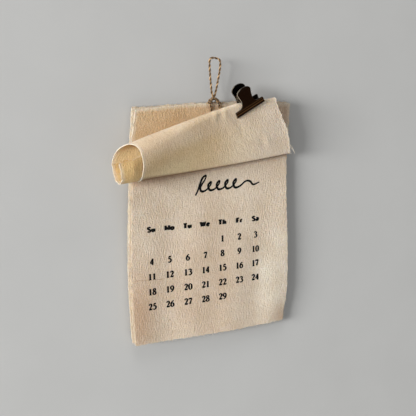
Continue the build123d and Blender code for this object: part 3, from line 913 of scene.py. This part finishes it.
# The twine's way in mm: out of the knot, through the pages and back, across itself and round the loop
TWINE_ROUTE = [
    (-4.6, -0.4, -35.8),
    (-4.3, 0, -38.5),
    (-2.9, 0, -42.5),
    (-2, 0, -50),
    (-2, 11.3, -50),
    (6, 11.3, -50),
    (6, 0, -50),
    (5.3, 0, -43),
    (4.7, 0, -39.5),
    (3.4, -0.6, -36.2),
    (-0.4, -1.2, -33.6),
    (-2.8, -0.8, -30.2),
    (-3.3, 0, -25),
    (-4.6, 0, -10),
    (-5.1, 0, -1.5),
    (-3.7, 0, 1.6),
    (3.4, 0, 0.7),
    (5.8, 0, -1.4),
    (5.0, 0, -10),
    (2.9, 0, -20),
    (0.8, 0.6, -30.2),
    (-1.0, 0.6, -33.4),
    (-4.2, 0, -35.0),
]
# Height below which the twine is drawn darker, as in the photograph, and how pale it and the knot stay
KNOT_TOP, LOW_PALE, KNOT_PALE = -33, 0.7, 0.65
# Wraps of the knot: middle, slant and half width; then a wrap's points, middle, half depth and twist
KNOT_WRAPS = [
    (-3.6, -34.0, 0.6, 1.8),
    (-4.6, -36.0, 0.45, 1.7),
    (1.9, -34.4, -0.6, 1.7),
    (3.6, -36.4, -0.5, 1.8),
    (-0.6, -33.4, 0.1, 1.6),
]
WRAP_STEPS, WRAP_Y, WRAP_DEPTH, WRAP_LAY = 12, -0.5, 1.9, 0.8


def spline_points(name, route, closed=False):
    """Points along a smooth curve through the air near a route, read from its spline."""
    curve = bpy.data.curves.new(name, "CURVE")
    curve.dimensions = "3D"
    curve.resolution_u = 16
    spline = curve.splines.new("NURBS")
    spline.points.add(len(route) - 1)
    for point, place in zip(spline.points, route):
        point.co = (*[value * MM for value in place], 1)
    spline.order_u = 3
    spline.use_endpoint_u = not closed
    spline.use_cyclic_u = closed
    carrier = bpy.data.objects.new(name, curve)
    bpy.context.scene.collection.objects.link(carrier)
    bpy.context.view_layer.update()
    line = bpy.data.meshes.new_from_object(carrier.evaluated_get(bpy.context.evaluated_depsgraph_get()))
    points = np.array([tuple(vertex.co) for vertex in line.vertices])
    bpy.data.objects.remove(carrier)
    bpy.data.curves.remove(curve)
    bpy.data.meshes.remove(line)
    return points


def line_frames(points, closed):
    """Evenly turned side directions along a line."""
    both_ways = np.roll(points, -1, axis=0) - np.roll(points, 1, axis=0)
    ahead = unit(both_ways if closed else np.gradient(points, axis=0))
    side = np.cross(ahead[0], (0.3, 1, 0.2))
    sides = []
    for way in ahead:
        side = unit(side - way * np.dot(side, way))
        sides.append(side)
    sides = np.array(sides)
    return sides, np.cross(ahead, sides)


# A strand's middle and radius as shares of the twine's diameter, how uneven it is, and its sides
STRAND_REACH, STRAND_RADIUS, STRAND_UNEVEN, STRAND_SIDES = 0.235, 0.275, 0.07, 9
# Where a strand's painted groove shade is darkest and palest, as shares of the diameter, and how pale every
# second one is
GROOVE_LOW, GROOVE_HIGH, SECOND_PALE = 0.3, 0.5, 0.4


def laid_rope(points, diameter, lay, strands, closed=False):
    """Strands twisted round a line, every second one darker, grooves in painted shade: points, faces and how
    pale each point is.
    """
    sides, ups = line_frames(points, closed)
    along = distances(points)
    reach, thick, around = diameter * STRAND_REACH, diameter * STRAND_RADIUS, STRAND_SIDES
    verts, faces, grooves = [], [], []
    for strand in range(strands):
        angles = 2 * pi * (along / lay + strand / strands)
        centre = points + reach * (sides * np.cos(angles)[:, None] + ups * np.sin(angles)[:, None])
        radii = thick * (1 + STRAND_UNEVEN * np.sin(along / lay * 9 + strand * 2))
        base = len(verts)
        add_tube(verts, faces, centre, sides, ups, radii, around, closed, "" if closed else "both")
        out = np.linalg.norm(np.array(verts[base:]) - np.repeat(points, around, axis=0), axis=1) / diameter
        pale = np.clip((out - GROOVE_LOW) / (GROOVE_HIGH - GROOVE_LOW), 0, 1)
        grooves += list(pale * (SECOND_PALE if strand % 2 else 1))
    return verts, faces, grooves


def twine_hairs(name, points, twine, seed):
    """Fibre ends that stand off the twine."""
    sides, ups = line_frames(points, False)
    rng = np.random.default_rng(seed)
    verts, faces = [], []
    radii = twine.hair / 2 * np.array([1.0, 0.8, 0.25])
    for _ in range(int(distances(points)[-1] / twine.hair_gap)):
        spot = rng.integers(1, len(points) - 1)
        angle = rng.uniform(0, 2 * pi)
        out = sides[spot] * cos(angle) + ups[spot] * sin(angle)
        ahead = unit(points[spot + 1] - points[spot - 1]) * rng.choice((-1, 1))
        cross = np.cross(out, ahead)
        length = twine.hair_reach * rng.uniform(0.3, 1) ** 1.5
        middles = [
            points[spot] + out * (twine.diameter * 0.42 + length * 0.55 * share) + ahead * length * share**1.6
            for share in (0.0, 0.55, 1.0)
        ]
        add_tube(verts, faces, middles, [cross] * 3, [out] * 3, radii, 3)
    return mesh_piece(name, verts, faces, jute_material(), values={"groove": [0.9] * len(verts)})


class CALENDAR_OT_hanging_twine(bpy.types.Operator):
    """Builds the twine, from the knot through the pages and round the hanging loop, and its knot."""

    bl_idname = "calendar.hanging_twine"
    bl_label = "Twine and knot"

    def execute(self, context):
        twine = context.scene.calendar_twine
        points = spline_points("twine_way", TWINE_ROUTE)
        verts, faces, grooves = laid_rope(points, twine.diameter, twine.lay, twine.strands)
        low = np.array(verts)[:, 2] < KNOT_TOP * MM
        grooves = np.array(grooves) * np.where(low, LOW_PALE, 1)
        rope = mesh_piece("hanging_twine_strands", verts, faces, jute_material(), values={"groove": grooves})
        hairs = twine_hairs("hanging_twine_fibres", points, twine, seed=11)
        knot = self.knot(twine)
        for part in (rope, hairs, knot):
            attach(part, BODY)
        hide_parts("hanging_twine")
        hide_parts("twine_knot")
        return {"FINISHED"}

    def knot(self, twine):
        """Slanted wraps, two round each leg and one where the legs cross."""
        verts, faces, grooves = [], [], []
        for x, z, slant, wide in KNOT_WRAPS:
            loop = []
            for step in range(WRAP_STEPS):
                angle = 2 * pi * step / WRAP_STEPS
                aside, deep = wide * cos(angle), WRAP_Y + WRAP_DEPTH * sin(angle)
                loop.append((x + aside * cos(slant), deep, z + aside * sin(slant)))
            points = spline_points("knot_way", loop, closed=True)
            lay, base = twine.lay * WRAP_LAY, len(verts)
            part, sides, depth = laid_rope(points, twine.diameter, lay, twine.strands, closed=True)
            verts += part
            faces += [tuple(base + corner for corner in face) for face in sides]
            grooves += [KNOT_PALE * value for value in depth]
        return mesh_piece("twine_knot_strands", verts, faces, jute_material(), values={"groove": grooves})


# Painted highlight bands along the jaw's lip: height above the pin, half width and how much shows
JAW_HIGHLIGHTS = [(-9.5, 0.5, 0.85), (-7.6, 0.5, 0.5)]


class CALENDAR_OT_bulldog_clip(bpy.types.Operator):
    """Finishes the clip: browned and blackened plates with softened edges, steel pin and spring."""

    bl_idname = "calendar.bulldog_clip"
    bl_label = "Clip"

    def execute(self, context):
        clip = context.scene.calendar_clip
        wire = wire_material()
        finishes = {
            "clip_front_plate": plate_material("steel_pressed_browned", clip.brown, JAW_HIGHLIGHTS),
            "clip_back_plate": plate_material("steel_pressed_blackened", clip.black, []),
            "clip_pin": wire,
            "clip_spring": wire,
        }
        for name, material in finishes.items():
            node = frame["nodes"][name]
            node.data.materials.clear()
            node.data.materials.append(material)
            soften = node.modifiers.new("soft_edge", "BEVEL")
            soften.width = clip.soft
            soften.segments = 2
            soften.limit_method = "ANGLE"
            soften.angle_limit = radians(40)
            soften.harden_normals = False
        return {"FINISHED"}


# Strokes of the printed figures and marks, each a row of x, y and width in hundredths of the height
FIGURES = {
    "0": "31 97 5, 12 78 12, 9 48 15, 13 18 12, 31 0 5, 49 18 12, 53 48 15, 49 78 12, 31 97 5",
    "1": "32 98 15, 32 2 15; 34 98 6, 14 84 5; 14 2 6, 52 2 6",
    "2": (
        "10 74 13, 15 90 8, 30 97 7, 46 88 12, 49 70 15, 40 48 12, 24 25 7, 8 8 6; 6 7 13, 56 7 13; "
        "55 8 7, 58 22 5"
    ),
    "3": (
        "9 80 11, 18 94 7, 32 96 7, 46 84 13, 45 67 12, 26 53 5; 26 53 5, 45 48 10, 53 28 15, "
        "44 8 11, 26 0 6, 8 10 12"
    ),
    "4": "42 98 6, 4 30 6; 3 29 10, 60 29 10; 42 98 15, 42 0 15; 27 2 5, 57 2 5",
    "5": (
        "17 92 13, 53 94 13; 18 95 6, 13 54 6; 13 54 6, 28 62 8, 46 52 12, 53 32 15, 44 10 12, "
        "26 0 7, 8 12 12"
    ),
    "6": (
        "52 96 5, 33 86 9, 15 62 13, 9 32 15, 16 8 11, 31 0 6, 47 9 11, 53 30 15, 46 50 11, 32 58 6, "
        "14 44 6"
    ),
    "7": "5 92 13, 57 92 13; 6 95 6, 5 76 5; 54 92 7, 39 55 10, 28 22 14, 26 0 15",
    "8": (
        "31 97 6, 15 88 11, 15 68 12, 31 54 9, 50 38 13, 51 14 13, 31 0 6, 11 14 13, 12 38 12, "
        "31 54 8, 46 68 11, 46 88 11, 31 97 6"
    ),
    "9": (
        "10 1 5, 29 11 9, 47 35 13, 53 65 15, 46 89 11, 31 97 6, 15 88 11, 9 67 15, 16 47 11, "
        "30 39 6, 48 53 6"
    ),
    "S": (
        "50 78 10, 42 94 7, 26 97 7, 12 84 13, 15 66 14, 30 52 14, 48 36 14, 50 17 14, 34 1 7, "
        "18 4 8, 8 20 11"
    ),
    "M": "10 97 9, 10 0 9; 10 97 16, 42 8 16; 42 8 7, 74 97 7; 74 97 17, 74 0 17",
    "T": "32 96 18, 32 0 18; 3 92 11, 61 92 11",
    "W": "4 97 16, 26 2 16; 26 2 8, 45 90 8; 45 90 16, 66 2 16; 66 2 8, 86 97 8",
    "F": "16 97 18, 16 0 18; 8 92 11, 56 92 11; 16 50 10, 46 50 10",
    "u": "12 64 15, 12 22 15, 25 3 10, 44 18 7; 45 64 15, 45 0 15",
    "o": "29 64 6, 11 48 14, 11 18 14, 29 0 6, 47 18 14, 47 48 14, 29 64 6",
    "e": "12 34 6, 46 36 7, 42 56 11, 28 64 7, 11 46 15, 11 18 15, 28 1 8, 46 12 7",
    "h": "12 98 15, 12 0 15; 14 44 6, 28 62 9, 43 50 14, 44 0 15",
    "r": "12 64 15, 12 0 15; 13 42 6, 24 60 9, 38 58 14",
    "a": "10 50 9, 24 64 8, 40 52 13, 41 10 15, 50 2 8; 40 38 5, 18 32 10, 9 16 14, 20 1 9, 40 12 6",
}
ADVANCES = {"M": 0.98, "W": 1.04, "T": 0.76, "r": 0.52, "1": 0.68}

# The first date's column, counted from 0, and the number of dates
FIRST_DAY, DAYS = 4, 29
WEEKDAY_MARKS = ("Su", "Mo", "Tu", "We", "Th", "Fr", "Sa")
# A pen flourish in the month's place: (x, z, width) in millimetres, and how far its ink spreads
FLOURISH_SPREAD = 0.3
FLOURISH = [
    (-17.5, -116.6, 0.7), (-15.0, -112.0, 0.9), (-11.0, -102.5, 1.1), (-7.2, -99.6, 0.8), (-8.0, -103.0, 0.7),
    (-12.5, -109.5, 1.0), (-11.5, -113.4, 1.2), (-7.0, -112.6, 0.8), (-2.6, -108.4, 0.7), (-2.2, -105.6, 0.9),
    (-5.0, -108.6, 1.1), (-3.2, -112.9, 1.2), (1.6, -112.2, 0.8), (6.0, -107.9, 0.7), (6.2, -105.2, 0.9),
    (3.5, -108.4, 1.1), (5.2, -112.7, 1.2), (10.0, -112.0, 0.8), (14.4, -107.7, 0.7), (14.6, -105.0, 0.9),
    (11.9, -108.2, 1.1), (13.6, -112.6, 1.2), (18.4, -111.8, 0.8), (22.8, -107.5, 0.7), (23.0, -104.8, 0.9),
    (20.3, -108.0, 1.1), (22.0, -112.4, 1.2), (27.0, -111.6, 0.9), (33.0, -107.6, 0.8), (37.5, -108.0, 1.1),
    (41.0, -111.2, 0.9), (47.4, -109.4, 0.5),
]


def figure_strokes(figure):
    """Strokes of a figure, as shares of its height."""
    lines = FIGURES[figure].split(";")
    return [[[int(number) / 100 for number in spot.split()] for spot in line.split(",")] for line in lines]


def stroke_ribbon(stroke, spread, steps=6):
    """Left and right borders of a pen stroke that runs smoothly through its points, with the ink's spread."""
    spots = np.array(stroke, dtype=float) * (1, 1, bpy.context.scene.calendar_print.weight) + (0, 0, spread)
    if len(spots) == 2:
        line = np.linspace(spots[0], spots[1], 5)
    else:
        closed = np.allclose(spots[0, :2], spots[-1, :2])
        before = spots[-2] if closed else 2 * spots[0] - spots[1]
        after = spots[1] if closed else 2 * spots[-1] - spots[-2]
        knots = np.vstack([before, spots, after])
        line = []
        for a, b, c, d in zip(knots, knots[1:], knots[2:], knots[3:]):
            for share in np.arange(steps) / steps:
                bend = (2 * a - 5 * b + 4 * c - d) * share**2 + (3 * b - a - 3 * c + d) * share**3
                line.append((2 * b + (c - a) * share + bend) / 2)
        line.append(spots[-1])
        line = np.array(line)
    ahead = unit(np.gradient(line[:, :2], axis=0))
    side = np.stack([-ahead[:, 1], ahead[:, 0]], axis=1) * line[:, 2:3] / 2
    return line[:, :2] + side, line[:, :2] - side


class CALENDAR_OT_printed_dates(bpy.types.Operator):
    """Prints the dates, plain weekday marks and a pen flourish on the page on show."""

    bl_idname = "calendar.printed_dates"
    bl_label = "Printed dates"

    def execute(self, context):
        ink = context.scene.calendar_print
        pages = context.scene.calendar_pages
        self.points, self.faces = [], []
        first = (pages.middle - pages.width / 2 + ink.first) / MM
        column, row = ink.column / MM, ink.row / MM
        digit, mark = ink.digit / MM, ink.mark / MM
        for day in range(DAYS):
            place = day + FIRST_DAY
            low = -ink.dates / MM - row * (place // 7) - digit / 2
            self.words(str(day + 1), first + column * (place % 7), low, digit, ink.digit_wide, ink.spread)
        low = -ink.marks / MM - mark / 2
        for place, text in enumerate(WEEKDAY_MARKS):
            self.words(text, first + column * place, low, mark, ink.mark_wide, 2 * ink.spread)
        self.lay(*stroke_ribbon(FLOURISH, FLOURISH_SPREAD))
        piece = mesh_piece("february_print", self.points, self.faces, ink_material(), smooth=False)
        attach(piece, BODY)
        return {"FINISHED"}

    def words(self, text, middle, low, height, wide, spread):
        """A short row of figures, set about its middle and drawn wider than their strokes say."""
        widths = [ADVANCES.get(figure, 0.7) * height * wide for figure in text]
        size = np.array([height * wide, height])
        x = middle - sum(widths) / 2
        for figure, width in zip(text, widths):
            for stroke in figure_strokes(figure):
                left, right = stroke_ribbon(stroke, spread)
                shift = np.array([x, low])
                self.lay(left * size + shift, right * size + shift)
            x += width

    def lay(self, left, right):
        """Lays a stroke on the cloth, a hair above its threads."""
        pages = bpy.context.scene.calendar_pages
        corner = np.array([(pages.middle - pages.width / 2) / MM, -pages.top / MM])
        front = np.array([0, (pages.thickness / 2 + bpy.context.scene.calendar_print.lift) / MM, 0])
        base = len(self.points)
        for pair in zip(left, right):
            for spot in pair:
                place = page_place(spot[0] - corner[0], corner[1] - spot[1], 0)
                self.points.append((place - front) * MM)
        for step in range(len(left) - 1):
            a = base + 2 * step
            self.faces.append((a, a + 1, a + 3, a + 2))


# Places in metres: the camera, what the lamps look at, and each lamp's width, height and place
CAMERA_PLACE = (-0.3733, -0.6807, 0.01568)
LIT_PLACE = (0, 0, -0.12)
LAMPS = {"window": ((2.3, 1.1), (-4.55, -1.95, 0.5)), "ceiling": ((2.2, 2.2), (-1.5, -2.2, 4.2))}
# The wall behind the pages, and how far the stage reaches to its sides, down and up
WALL_Y = 13 * MM
STAGE_SIDES, STAGE_HEIGHTS = (-1.2, 3.0), (-1.2, 3.0)


class CALENDAR_OT_stage(bpy.types.Operator):
    """Sets up the camera, the lamps, a matt wall behind the calendar and a pale floor far below."""

    bl_idname = "calendar.stage"
    bl_label = "Stage"

    def execute(self, context):
        stage = context.scene.calendar_stage
        self.camera(context, stage)
        self.lamps(context, stage)
        self.wall(stage)
        context.scene.view_settings.view_transform = "Standard"
        return {"FINISHED"}

    def aimed(self, context, name, data, place, ahead):
        """Adds a camera or a lamp at a place, looking in a direction."""
        thing = bpy.data.objects.new(name, data)
        context.scene.collection.objects.link(thing)
        thing.location = place
        thing.rotation_mode = "QUATERNION"
        thing.rotation_quaternion = ahead.to_track_quat("-Z", "Y")
        return thing

    def camera(self, context, stage):
        """The photograph's camera: a little above the loop, to the left, looking slightly down."""
        data = bpy.data.cameras.new("camera")
        data.lens = stage.lens
        data.sensor_width = 36
        level = cos(stage.pitch)
        ahead = Vector((sin(stage.yaw) * level, cos(stage.yaw) * level, -sin(stage.pitch)))
        context.scene.camera = self.aimed(context, "camera", data, CAMERA_PLACE, ahead)

    def lamps(self, context, stage):
        """A window at the left, a pale ceiling and light from all round."""
        for name, power in (("window", stage.key), ("ceiling", stage.above)):
            size, place = LAMPS[name]
            data = bpy.data.lights.new(name, "AREA")
            data.shape = "RECTANGLE"
            data.size, data.size_y = size
            data.energy = power
            self.aimed(context, name, data, place, Vector(LIT_PLACE) - Vector(place))
        world = bpy.data.worlds.new("room")
        context.scene.world = world
        world.use_nodes = True
        tree = world.node_tree
        back = tree.nodes["Background"]
        feed(tree, back, {"Color": stage.sky, "Strength": stage.fill})
        # Where the room itself is seen, straight or in the clip's metal, it is pale
        seen = add(tree, "ShaderNodeBackground", {"Color": stage.room, "Strength": 1.0})
        ray = add(tree, "ShaderNodeLightPath").outputs
        look = maths(tree, "MAXIMUM", ray["Is Camera Ray"], ray["Is Glossy Ray"])
        look = maths(tree, "MAXIMUM", look, ray["Is Transmission Ray"])
        mix = add(tree, "ShaderNodeMixShader", {0: look, 1: back.outputs[0], 2: seen.outputs[0]})
        feed(tree, tree.nodes["World Output"], {0: mix.outputs[0]})

    def wall_material(self, stage):
        """Matt wall paint, rolled on: pale grey, faintly uneven; from behind it lets the calendar show."""
        material, tree, shader = new_material("wall_paint_matt")
        # Roller marks some 60 mm wide
        marks = noise(tree, object_place(tree), 1 / (60 * MM), 2.0)
        level = ranged(tree, marks, 0.3, 0.7, 0.985, 1.015)
        shade = add(tree, "ShaderNodeVectorMath", {0: stage.wall[:3], 3: level}, operation="SCALE")
        feed(tree, shader, {"Base Color": shade.outputs[0], "Roughness": 0.95, "Specular IOR Level": 0.1})
        # Light from behind reaches the back of the pages, which hang within a few millimetres of the wall
        length = add(tree, "ShaderNodeLightPath").outputs["Ray Length"]
        behind = add(tree, "ShaderNodeNewGeometry").outputs["Backfacing"]
        open_side = maths(tree, "MAXIMUM", behind, maths(tree, "LESS_THAN", length, 5 * MM))
        clear = add(tree, "ShaderNodeBsdfTransparent").outputs[0]
        mix = add(tree, "ShaderNodeMixShader", {0: open_side, 1: shader.outputs[0], 2: clear})
        feed(tree, tree.nodes["Material Output"], {0: mix.outputs[0]})
        return material

    def floor_material(self, stage):
        """Matt floor paint: pale, with hardly any shine."""
        material, tree, shader = new_material("floor_paint_matt")
        feed(tree, shader, {"Base Color": stage.floor, "Roughness": 0.9})
        return material

    def wall(self, stage):
        """The wall and the floor, as far as they are seen."""
        low, high = STAGE_HEIGHTS
        left, right = STAGE_SIDES
        corners = [(left, WALL_Y, low), (right, WALL_Y, low), (right, WALL_Y, high), (left, WALL_Y, high)]
        wall = mesh_piece("wall", corners, [(0, 1, 2, 3)], self.wall_material(stage), smooth=False)
        corners = [(left, -right, low), (right, -right, low), (right, WALL_Y, low), (left, WALL_Y, low)]
        floor = mesh_piece("floor", corners, [(0, 1, 2, 3)], self.floor_material(stage), smooth=False)


class CALENDAR_PT_panel(bpy.types.Panel):
    """Lists the calendar's pieces in the sidebar."""

    bl_idname = "CALENDAR_PT_panel"
    bl_label = "Fabric calendar"
    bl_space_type = "VIEW_3D"
    bl_region_type = "UI"
    bl_category = "Calendar"

    def draw(self, context):
        for operator in OPERATORS:
            self.layout.operator(operator.bl_idname)
        for name in GROUPS:
            group = getattr(context.scene, name)
            box = self.layout.box()
            for key in group.bl_rna.properties.keys():
                if key not in ("rna_type", "name"):
                    box.prop(group, key)


GROUPS = {
    "calendar_pages": CalendarPages,
    "calendar_roll": CalendarRoll,
    "calendar_twine": CalendarTwine,
    "calendar_clip": CalendarClip,
    "calendar_print": CalendarPrint,
    "calendar_stage": CalendarStage,
}
OPERATORS = (
    CALENDAR_OT_stage,
    CALENDAR_OT_hanging_twine,
    CALENDAR_OT_january_page,
    CALENDAR_OT_february_page,
    CALENDAR_OT_later_pages,
    CALENDAR_OT_printed_dates,
    CALENDAR_OT_bulldog_clip,
)


def register():
    """Adds the settings, the operators and the panel."""
    for name, group in GROUPS.items():
        bpy.utils.register_class(group)
        setattr(bpy.types.Scene, name, PointerProperty(type=group))
    for item in (*OPERATORS, CALENDAR_PT_panel):
        bpy.utils.register_class(item)


def unregister():
    """Takes the settings, the operators and the panel away again."""
    for item in (CALENDAR_PT_panel, *reversed(OPERATORS)):
        bpy.utils.unregister_class(item)
    for name, group in GROUPS.items():
        delattr(bpy.types.Scene, name)
        bpy.utils.unregister_class(group)


def main():
    """Builds the calendar and its stage."""
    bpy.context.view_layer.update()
    register()
    bpy.ops.calendar.stage()
    bpy.ops.calendar.hanging_twine()
    bpy.ops.calendar.january_page()
    bpy.ops.calendar.february_page()
    bpy.ops.calendar.later_pages()
    bpy.ops.calendar.printed_dates()
    bpy.ops.calendar.bulldog_clip()


if __name__ == "__main__":
    main()
